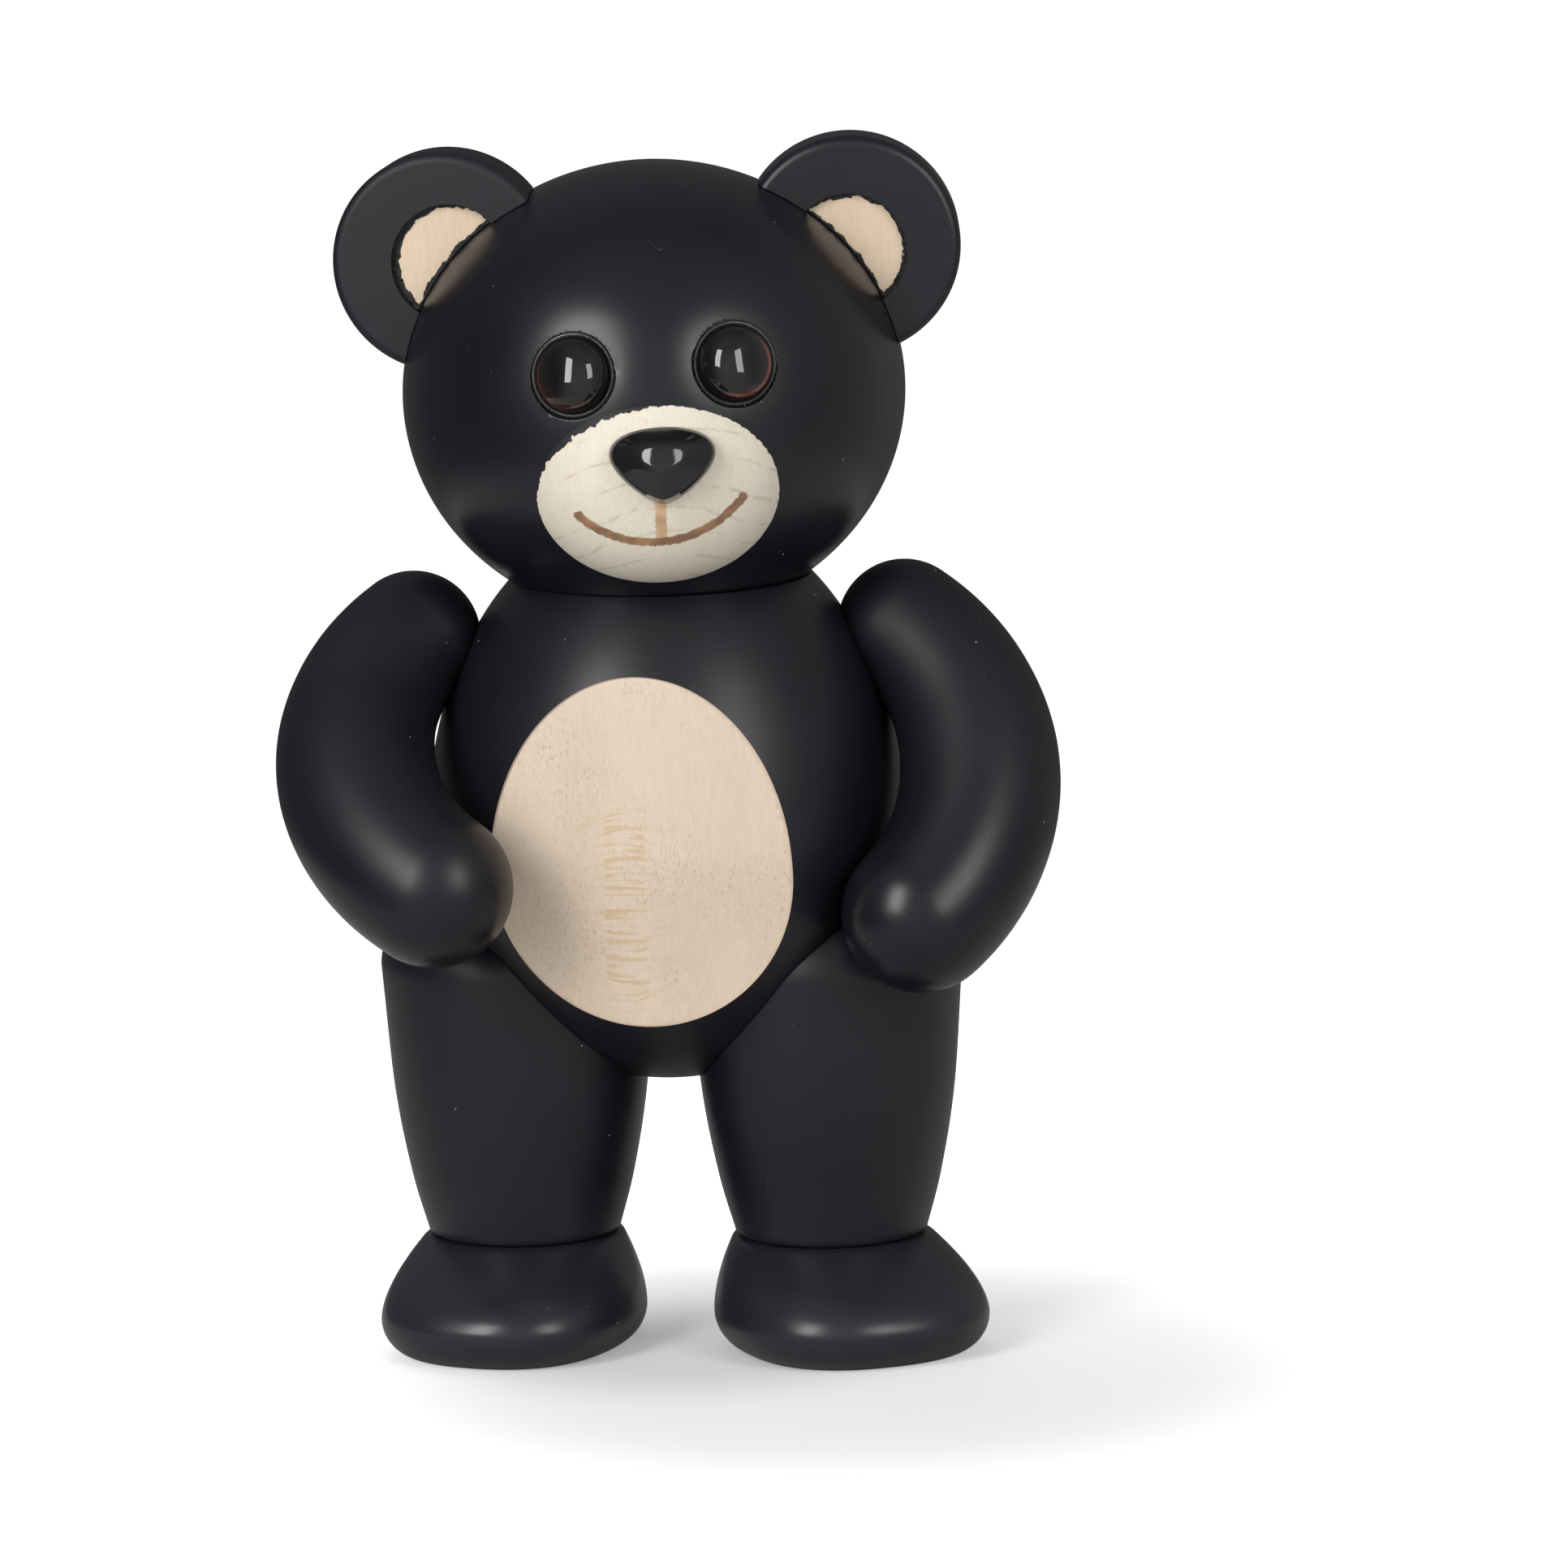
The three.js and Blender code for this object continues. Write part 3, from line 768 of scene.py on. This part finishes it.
eye_finishes = {
    "left": eye_finish("eye_glass_left", 0.9, (0.8, -0.6, 0)),
    "right": eye_finish("eye_glass_right", 0.12, (-0.6, -0.8, 0)),
}
for side, sign in both_sides:
    bend = (eye_radius ** 2 + eye_dome ** 2) / (2 * eye_dome)
    widest = math.asin(eye_radius / bend)
    profile = [(eye_radius, -eye_seat + seam), (eye_radius, -0.6 * mm), (eye_radius, -0.1 * mm)]
    for angle in np.linspace(widest, 0.01, 40):
        profile.append((bend * math.sin(angle), bend * math.cos(angle) - bend + eye_dome))
    eye = turned(f"button_{side}", profile, eye_sides)
    for vertex in eye.data.vertices:
        if vertex.co.z > 0:
            # The dome is flatter up and down than across, and leans inwards and down. It was
            # shaped so that it mirrors the two soft lights much as the photograph shows them.
            inside = 1 - min(1, vertex.co.xy.length / eye_radius) ** 2
            x = vertex.co.x + sign * eye_lean.x * inside
            y = (vertex.co.y + eye_lean.y * inside) * math.sqrt(1 - eye_upright * inside)
            vertex.co.z = math.sqrt(max(0, bend ** 2 - x ** 2 - y ** 2)) - bend + eye_dome
    spots = [(v.co.x / eye_radius, v.co.y / eye_radius, 0) for v in eye.data.vertices]
    layer = eye.data.attributes.new("button", "FLOAT_VECTOR", "POINT")
    layer.data.foreach_set("vector", np.array(spots).ravel())
    eye.data.transform(head_place @ eye_place(sign) @ to_front)
    eye.data.materials.append(eye_finishes[side])
    put_together(eye, f"eye_{side}")

# Glue round the eyes
# Black glue fills the gap between each eye and its hole. Small beads of it and paint crumbs were
# squeezed out when the eye was pushed in, and a node tree scatters them along the rim.

glue_play = 0.01 * mm
glue_lift = 0.02 * mm
bead_size = 0.17 * mm
bead_spread = 0.2 * mm
bead_count = 44
bead_seed = {"left": 4, "right": 9}

glue_tree, given = geometry_tree("glue_beads", {
    "Rim Radius": "Float",
    "Bead Size": "Float",
    "Spread": "Float",
    "Count": "Int",
    "Seed": "Int",
    "Finish": "Material",
})
rim = {"Resolution": eye_sides, "Radius": given["Rim Radius"]}
rim = add(glue_tree, "GeometryNodeCurvePrimitiveCircle", rim).outputs[0]
spots = {"Curve": rim, "Count": given["Count"]}
spots = add(glue_tree, "GeometryNodeCurveToPoints", spots, mode="COUNT").outputs["Points"]


def at_random(low, high, seed_step):
    """A vector between low and high for each bead, from the given seed and a step of its own."""
    node = add(glue_tree, "FunctionNodeRandomValue", data_type="FLOAT_VECTOR")
    ends = [s for s in node.inputs if s.enabled and s.name in ("Min", "Max")]
    for socket, value in zip(ends, (low, high)):
        socket.default_value = value
    seed = next(s for s in node.inputs if s.enabled and s.name == "Seed")
    glue_tree.links.new(total(glue_tree, given["Seed"], float(seed_step)), seed)
    return next(s for s in node.outputs if s.enabled)


stray = {0: at_random((-1, -1, -0.3), (1, 1, 0.3), 1), "Scale": given["Spread"]}
stray = add(glue_tree, "ShaderNodeVectorMath", stray, operation="SCALE").outputs[0]
spots = {"Geometry": spots, "Offset": stray}
spots = add(glue_tree, "GeometryNodeSetPosition", spots).outputs[0]
bead = {"Radius": given["Bead Size"], "Subdivisions": 2}
bead = add(glue_tree, "GeometryNodeMeshIcoSphere", bead).outputs[0]
size = at_random((0.3, 0.3, 0.2), (1.0, 1.0, 0.7), 2)
beads = {"Points": spots, "Instance": bead, "Scale": size}
beads = add(glue_tree, "GeometryNodeInstanceOnPoints", beads).outputs[0]
hand_out(glue_tree, beads, given["Finish"])


def fillet(name):
    """The ring of glue that fills the gap between the eye and its hole."""
    inner, outer = eye_radius + glue_play, socket_radius - glue_play
    middle = (inner + outer) / 2
    section = [(inner, -0.9), (outer, -0.9), (outer, -0.25), (middle, -0.2), (inner, 0.0)]
    points, faces = [], []
    for k, angle in enumerate(round_angles(eye_sides)):
        for j, (r, z) in enumerate(section):
            points.append((r * math.cos(angle), r * math.sin(angle), z * mm))
            here, ahead = k * len(section), (k + 1) % eye_sides * len(section)
            after = (j + 1) % len(section)
            faces.append((here + j, ahead + j, ahead + after, here + after))
    return piece_from(name, points, faces)


glue_finish, tree, shader = new_finish("glue")
shader.inputs["Base Color"].default_value = colour(30, 30, 32)
matt = soft_step(tree, noise(tree, 900), 0.4, 0.6)
tree.links.new(total(tree, 0.12, product(tree, matt, 0.2)), shader.inputs["Roughness"])
for side, sign in both_sides:
    values = {
        "Rim Radius": socket_radius + glue_lift,
        "Bead Size": bead_size,
        "Spread": bead_spread,
        "Count": bead_count,
        "Seed": bead_seed[side],
        "Finish": glue_finish,
    }
    glue = made_by(glue_tree, f"glue_{side}", values)
    glue.data.transform(Matrix.Translation((0, 0, glue_lift)))
    ring = fillet("ring")
    beads_and_ring = bmesh.new()
    beads_and_ring.from_mesh(glue.data)
    beads_and_ring.from_mesh(ring.data)
    beads_and_ring.to_mesh(glue.data)
    beads_and_ring.free()
    glue.data.materials.clear()
    glue.data.materials.append(glue_finish)
    bpy.data.objects.remove(ring)
    glue.data.transform(head_place @ eye_place(sign) @ to_front)
    glue.data.shade_smooth()
    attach(glue, "root")

# Muzzle
# A dome of bare maple, hollowed at the back and glued to the ball. The mouth is a line burnt
# into the wood with a hot point, and a little black paint has crept over the dome's upper edge.

muzzle_size = (32.7 * mm, 24 * mm, 28.8 * mm)
muzzle_shift = Vector((0.15 * mm, -19.3 * mm, -6.2 * mm))
muzzle_pitch = math.radians(18.7)
mouth_middle = Vector((-0.9 * mm, 0, 114.26 * mm))
mouth_bend = 13.45 * mm
mouth_width = 1.05 * mm
mouth_ends = (Vector((-9.6 * mm, 0, 104.1 * mm)), Vector((9.6 * mm, 0, 105.9 * mm)))
philtrum_width = 1.35 * mm
philtrum_bottom = 101.2 * mm
philtrum_top = 110 * mm
muzzle_light = colour(206, 199, 183)
muzzle_dark = colour(193, 183, 164)
growth_middle = Vector((1 * mm, 0, 82 * mm))
growth_step = 3.1 * mm
growth_wander = 3.4 * mm
growth_colour = colour(162, 146, 122)
line_raggedness = 0.5 * mm
burnt_colours = (colour(112, 78, 56), colour(142, 106, 68))
philtrum_colours = (colour(155, 120, 86), colour(188, 152, 110))
creep_side = Vector((-0.6, 0, 0.8)) / (9 * mm)
creep_least = 0.3 * mm
creep_more = 1.3 * mm

muzzle_place = head_place @ Matrix.Translation(muzzle_shift) @ Matrix.Rotation(muzzle_pitch, 4, "X")
muzzle_maple, tree, shader, wood = bare_maple("muzzle_maple", muzzle_light, muzzle_dark, 0.2)


def from_the_front(tree):
    """The place on the figure as seen from straight in front, with its depth left out."""
    return vector_maths(tree, "MULTIPLY", own_place(tree), (1, 0, 1))


def off_ball(tree):
    """Where a point lies from the ball's middle, and how far it stands off the ball, in metres."""
    from_middle = vector_maths(tree, "SUBTRACT", own_place(tree), head_middle)
    halves = (2 / head_width, 2 / head_width, 2 / head_height)
    share = vector_maths(tree, "LENGTH", vector_maths(tree, "MULTIPLY", from_middle, halves))
    return from_middle, product(tree, maths(tree, "SUBTRACT", share, 1.0), head_width / 2)


def wobble(tree, cells, reach):
    return product(tree, maths(tree, "SUBTRACT", noise(tree, cells), 0.5), reach)


flat = from_the_front(tree)
growth = vector_maths(tree, "DISTANCE", flat, growth_middle)
growth = total(tree, growth, wobble(tree, 110, growth_wander))
growth = maths(tree, "FRACT", maths(tree, "DIVIDE", growth, growth_step))
growth = soft_step(tree, apart(tree, growth, 0.5), 0.1, 0.0)
broken = soft_step(tree, noise(tree, 420), 0.42, 0.62)
wood = blend(tree, product(tree, growth, broken, 0.5), wood, growth_colour)

# The smile is the part of a circle that lies below the line between its ends, with round ends
ragged = wobble(tree, 1700, line_raggedness)
arc = apart(tree, vector_maths(tree, "DISTANCE", flat, mouth_middle), mouth_bend)
arc = total(tree, arc, ragged)
chord = mouth_ends[1] - mouth_ends[0]
upward = Vector((-chord.z, 0, chord.x)).normalized()
above = vector_maths(tree, "DOT_PRODUCT", flat, upward)
above = maths(tree, "SUBTRACT", above, mouth_ends[0].dot(upward))
smile = product(tree, soft_step(tree, arc, mouth_width * 0.58, mouth_width * 0.4),
                soft_step(tree, above, 0.15 * mm, -0.15 * mm))
for end in mouth_ends:
    dot = total(tree, vector_maths(tree, "DISTANCE", flat, end), ragged)
    dot = soft_step(tree, dot, mouth_width * 0.62, mouth_width * 0.42)
    smile = maths(tree, "MAXIMUM", smile, dot)
split = add(tree, "ShaderNodeSeparateXYZ", {0: own_place(tree)})
upright = total(tree, maths(tree, "ABSOLUTE", split.outputs[0]), ragged)
upright = product(tree, soft_step(tree, upright, philtrum_width * 0.58, philtrum_width * 0.4),
                  soft_step(tree, split.outputs[2], philtrum_bottom - 0.4 * mm, philtrum_bottom),
                  soft_step(tree, split.outputs[2], philtrum_top, philtrum_top - 1 * mm))
singe = soft_step(tree, noise(tree, 500, 3.0), 0.35, 0.65)
wood = blend(tree, product(tree, upright, 0.85), wood, blend(tree, singe, *philtrum_colours))
wood = blend(tree, product(tree, smile, 0.95), wood, blend(tree, singe, *burnt_colours))

# The paint crept furthest at the upper left
from_middle, height = off_ball(tree)
creep = soft_step(tree, vector_maths(tree, "DOT_PRODUCT", from_middle, creep_side), 0.0, 1.0)
creep = total(tree, creep_least, product(tree, creep, creep_more))
crept = maths(tree, "SUBTRACT", product(tree, noise(tree, 1300, 4.0), creep), height)
wood = blend(tree, soft_step(tree, crept, 0.0, 0.06 * mm), wood, paint_colour)
tree.links.new(wood, shader.inputs["Base Color"])

muzzle = ball("snout", muzzle_size, 0, 240, 130)
muzzle.data.transform(muzzle_place)
muzzle.data.materials.append(muzzle_maple)
cut(muzzle, head_hollow(muzzle_maple))
put_together(muzzle, "muzzle")

# Nose
# A glossy black moulding, a rounded triangle with its point down. Its back is hollow to sit on the
# dome, and its front slopes up from a thin rim to a blunt tip.

nose_width = 12.4 * mm
nose_height = 9 * mm
nose_thickness = 3.5 * mm
nose_rim = 0.7 * mm
nose_face = 0.92
nose_slope = 4.7 * mm
nose_slant = 0.17
nose_tip_z = 1 * mm
nose_tip_bend = 0.08
nose_tip_power = 2.0
nose_tip_blend = 0.5 * mm
nose_upright = 0.76
nose_tail = 2.1 * mm
nose_widest = 1.35 * mm
nose_shift = Vector((1 * mm, -31.6 * mm, -4.6 * mm))
nose_tilt = math.radians(-10)


def bezier(ends, count):
    a, b, c, d = (np.array(p) for p in ends)
    t = np.linspace(0, 1, count, endpoint=False)[:, None]
    return a * (1 - t) ** 3 + 3 * b * t * (1 - t) ** 2 + 3 * c * t ** 2 * (1 - t) + d * t ** 3


def nose_outline():
    half, top, low = nose_width / 2, nose_height / 2, -nose_height / 2
    wide = nose_widest
    right_side = [
        bezier([(0, low), (half * 0.3, low), (half, -wide * 0.6), (half, wide)], 40),
        bezier([(half, wide), (half, top * 0.75), (half * 0.55, top), (0, top)], 40),
    ]
    right_side = np.vstack(right_side)
    left_side = right_side[::-1] * (-1, 1)
    return np.vstack([right_side, [(0, top)], left_side[:-1]])


nose_black, tree, shader = new_finish("nose_plastic")
shader.inputs["Base Color"].default_value = colour(20, 21, 23)
patches = soft_step(tree, noise(tree, 300), 0.3, 0.7)
tree.links.new(total(tree, 0.08, product(tree, patches, 0.06)), shader.inputs["Roughness"])
shader.inputs["IOR"].default_value = glass_ior


def nose_front(x, z, size):
    """How far the nose stands out: a cone over the outline, blunted by a dome round its tip.

    The dome is wider up and down than across, so that it mirrors the lights as tall crescents.
    """
    cone = nose_rim + nose_slope * (1 - size / nose_face)
    away = math.hypot(x, (z - nose_tip_z) * nose_upright) / mm
    dome = nose_thickness - nose_tip_bend * away ** nose_tip_power * mm
    overlap = max(nose_tip_blend - abs(cone - dome), 0) / nose_tip_blend
    return min(cone, dome) - overlap ** 2 * nose_tip_blend / 4 + nose_slant * (nose_height / 2 - z)


outline = nose_outline()
tip = np.array((0, nose_tip_z))
rings = [[(x, nose_tail, z) for x, z in outline], [(x, 0, z) for x, z in outline]]
for size in np.linspace(nose_face, 0.02, 54):
    ring = tip + (outline - tip) * size
    rings.append([(x, -nose_front(x, z, size), z) for x, z in ring])
nose = skin("nose_button", rings)
nose.data.transform(head_place @ Matrix.Translation(nose_shift) @ Matrix.Rotation(nose_tilt, 4, "X"))
nose.data.materials.append(nose_black)
hollow = ball("hollow", muzzle_size, seam, 240, 130)
hollow.data.transform(muzzle_place)
hollow.data.materials.append(nose_black)
cut(nose, hollow)
put_together(nose, "nose")

# Ears
# Thick maple discs with eased edges, hollowed to fit the ball and painted. A flat-bottomed recess
# in front was drilled through the paint, which left its wall dark and its edge ragged.

ear_radius = 13.1 * mm
ear_half = 4 * mm
ear_edge = 1.2 * mm
ear_spread = 24 * mm
ear_height = 16.7 * mm
ear_recess_radius = 7 * mm
ear_recess_depth = 1 * mm
ear_recess_shift = {"left": (-0.3 * mm, -0.7 * mm), "right": (1.1 * mm, 0)}
ear_turn = {"left": 0, "right": math.radians(-9)}
ear_light = colour(197, 178, 155)
ear_dark = colour(180, 160, 136)
ear_ring_colour = colour(9, 9, 11)
ear_ring_edge = 0.08 * mm
ear_paints = {
    "left": satin_paint("ear_paint_left", duller=0.08),
    "right": satin_paint("ear_paint_right", duller=0.24),
}


def ear_finish(side, middle):
    """Bare maple within the recess, with a dark ragged ring at its wall and paint along the ball."""
    finish, tree, shader, wood = bare_maple(f"ear_maple_{side}", ear_light, ear_dark, 0.3)
    ragged = product(tree, noise(tree, 800, 4.0), 1.5 * mm)
    reach = vector_maths(tree, "DISTANCE", from_the_front(tree), Vector((middle.x, 0, middle.z)))
    wall = ear_recess_radius + 0.25 * mm
    crept = soft_step(tree, total(tree, reach, ragged), wall, wall + ear_ring_edge)
    # The recess also meets the ball, where paint ran along the corner
    corner = maths(tree, "SUBTRACT", product(tree, ragged, 0.7), off_ball(tree)[1])
    crept = maths(tree, "MAXIMUM", crept, soft_step(tree, corner, 0.0, ear_ring_edge))
    tree.links.new(blend(tree, crept, wood, ear_ring_colour), shader.inputs["Base Color"])
    give_relief(tree, shader, product(tree, crept, noise(tree, 1500)), 1.0, 0.3 * mm)
    return finish


def ear_profile():
    corner = np.linspace(0, math.pi / 2, 14)
    rim = [(ear_radius - ear_edge * (1 - math.sin(a)), ear_edge * math.cos(a)) for a in corner]
    back = [(radius, ear_edge - ear_half - rise) for radius, rise in rim]
    return back + [(radius, ear_half - ear_edge + rise) for radius, rise in reversed(rim)]


for side, sign in both_sides:
    ear = turned(f"disc_{side}", ear_profile(), 128)
    ear_place = head_place @ Matrix.Translation((sign * ear_spread, 0, ear_height))
    ear_place = ear_place @ Matrix.Rotation(ear_turn[side], 4, "Z") @ to_front
    ear.data.transform(ear_place)
    ear.data.materials.append(ear_paints[side])
    shift = Matrix.Translation((*ear_recess_shift[side], 0))
    recess_middle = ear_place @ shift @ Vector()
    heights = (ear_half - ear_recess_depth, ear_half + mm)
    recess = turned("recess", [(ear_recess_radius, height) for height in heights], 96)
    recess.data.transform(ear_place @ shift)
    recess.data.materials.append(ear_finish(side, recess_middle))
    recess.data.materials.append(ear_paints[side])
    # The wall's faces have four corners and take the paint; the floor's have three and stay bare
    for face in recess.data.polygons:
        face.material_index = 1 if len(face.vertices) == 4 else 0
    cut(ear, head_hollow(black_paint), recess)
    put_together(ear, f"ear_{side}")

# Floor and light
# A white table top in a dim room, with a tall soft light on each side of the camera and three fills
# that the paint doesn't mirror. The camera sees the table and the ground behind it as white, but
# the paint mirrors them at their real, dimmer brightness.

table_radius = 240 * mm
table_middle = figure_middle + Vector((14 * mm, 0, 0))
table_grey = (0.5, 0.5, 0.5, 1)
# The table's glow is painted light that only the camera sees. It is dim under the bear, a painted shade,
# and rises to bright away from it. A painted shadow lowers it once more between the feet, where little
# light comes
glow_dim = 0.42
glow_rise = 0.5
glow_middle = table_middle + Vector((6 * mm, -25 * mm, 0))
glow_reach = (35 * mm, 95 * mm)
feet_shadow_depth = 0.16
feet_shadow_middle = figure_middle + Vector((0, -8 * mm, 0))
feet_shadow_reach = (36 * mm, 12 * mm)

rim = []
for angle in round_angles(96):
    out = Vector((math.cos(angle), math.sin(angle), 0))
    rim.append(table_middle + table_radius * out)
floor = piece_from("floor", rim, [tuple(range(len(rim)))])
white, tree, shader = new_finish("white_table")
shader.inputs["Base Color"].default_value = table_grey
shader.inputs["Roughness"].default_value = 0.9
shader.inputs["Emission Color"].default_value = (1, 1, 1, 1)
away = vector_maths(tree, "DISTANCE", own_place(tree), glow_middle)
glow = total(tree, glow_dim, product(tree, soft_step(tree, away, *glow_reach), glow_rise))
# Painted shadow: the glow is lowered between the feet
feet_shadow = soft_step(tree, vector_maths(tree, "DISTANCE", own_place(tree), feet_shadow_middle), *feet_shadow_reach)
glow = maths(tree, "SUBTRACT", glow, product(tree, feet_shadow, feet_shadow_depth))
seen = add(tree, "ShaderNodeLightPath").outputs["Is Camera Ray"]
tree.links.new(product(tree, glow, seen), shader.inputs["Emission Strength"])
floor.data.materials.append(white)


def soft_light(name, azimuth, elevation, width, height, brightness):
    """A rectangle a metre from the bear, its angles seen from there: azimuth 0 is the camera's side."""
    data = bpy.data.lights.new(name, "AREA")
    data.shape = "RECTANGLE"
    data.size, data.size_y = width, height
    data.energy = brightness * math.pi * width * height
    light = bpy.data.objects.new(name, data)
    bpy.context.scene.collection.objects.link(light)
    a, e = math.radians(azimuth), math.radians(elevation)
    direction = Vector((math.sin(a) * math.cos(e), -math.cos(a) * math.cos(e), math.sin(e)))
    light.location = figure_middle + Vector((0, 0, 80 * mm)) + direction
    light.rotation_euler = direction.to_track_quat("Z", "Y").to_euler()
    return light


soft_light("left_light", -38, 27, 0.32, 0.6, 10.8)
soft_light("right_light", 38, 23, 0.32, 0.5, 6.9)
soft_light("back_fill", 205, 55, 0.8, 0.8, 2.2).visible_glossy = False
# This one stands below the table top, which keeps it off whatever is low down
soft_light("low_fill", -8, -11, 0.8, 0.35, 0.8).visible_glossy = False
soft_light("wood_key", -38, 6, 0.5, 0.5, 3.3).visible_glossy = False

# The dim room: how bright it is everywhere, and how much brighter towards each side
room_brightness = 0.06
room_sides = {
    (1, 0, 0): 0.28,
    (-1, 0, 0): 0.02,
    (0, 1, 0.3): 0.06,
    (0, 0, 1): 0.08,
    (0, -1, 0.8): 0.26,
    (0, -0.3, -1): 0.14,
    (0, -1, -0.3): 0.4,
}
white_to_camera = 1.05

world = bpy.data.worlds.new("studio")
bpy.context.scene.world = world
world.use_nodes = True
tree = world.node_tree
direction = add(tree, "ShaderNodeTexCoord").outputs["Generated"]
room = room_brightness
for side, brightness in room_sides.items():
    facing = vector_maths(tree, "DOT_PRODUCT", direction, Vector(side).normalized())
    room = total(tree, product(tree, soft_step(tree, facing, 0.3, 0.95), brightness), room)
seen = add(tree, "ShaderNodeLightPath").outputs["Is Camera Ray"]
room = maths(tree, "MAXIMUM", room, product(tree, seen, white_to_camera))
tree.links.new(room, tree.nodes["Background"].inputs["Strength"])
tree.nodes["Background"].inputs["Color"].default_value = (1, 1, 1, 1)
bpy.context.scene.view_settings.view_transform = "Standard"

# Camera
# The photograph looks straight at the bear's face from a little above, through a long lens, and is
# turned a hair anticlockwise.

camera_target = figure_middle + Vector((13.7 * mm, 0, 67 * mm))
camera_away = 1.5
camera_height = math.radians(9.5)
camera_roll = math.radians(1.4)
frame_pixels = 1932
metres_to_pixel = 0.097 * mm
sensor_width = 36

back = Vector((0, -math.cos(camera_height), math.sin(camera_height)))
right = Vector((1, 0, 0))
up = back.cross(right)
rolled_right = right * math.cos(camera_roll) - up * math.sin(camera_roll)
rolled_up = up * math.cos(camera_roll) + right * math.sin(camera_roll)
camera_data = bpy.data.cameras.new("camera")
camera_data.sensor_width = sensor_width
camera_data.lens = sensor_width * camera_away / (metres_to_pixel * frame_pixels)
camera_data.clip_start, camera_data.clip_end = 0.1, 50
camera = bpy.data.objects.new("camera", camera_data)
bpy.context.scene.collection.objects.link(camera)
turn = Matrix((rolled_right, rolled_up, back)).transposed()
camera.matrix_world = Matrix.Translation(camera_target + back * camera_away) @ turn.to_4x4()
bpy.context.scene.camera = camera
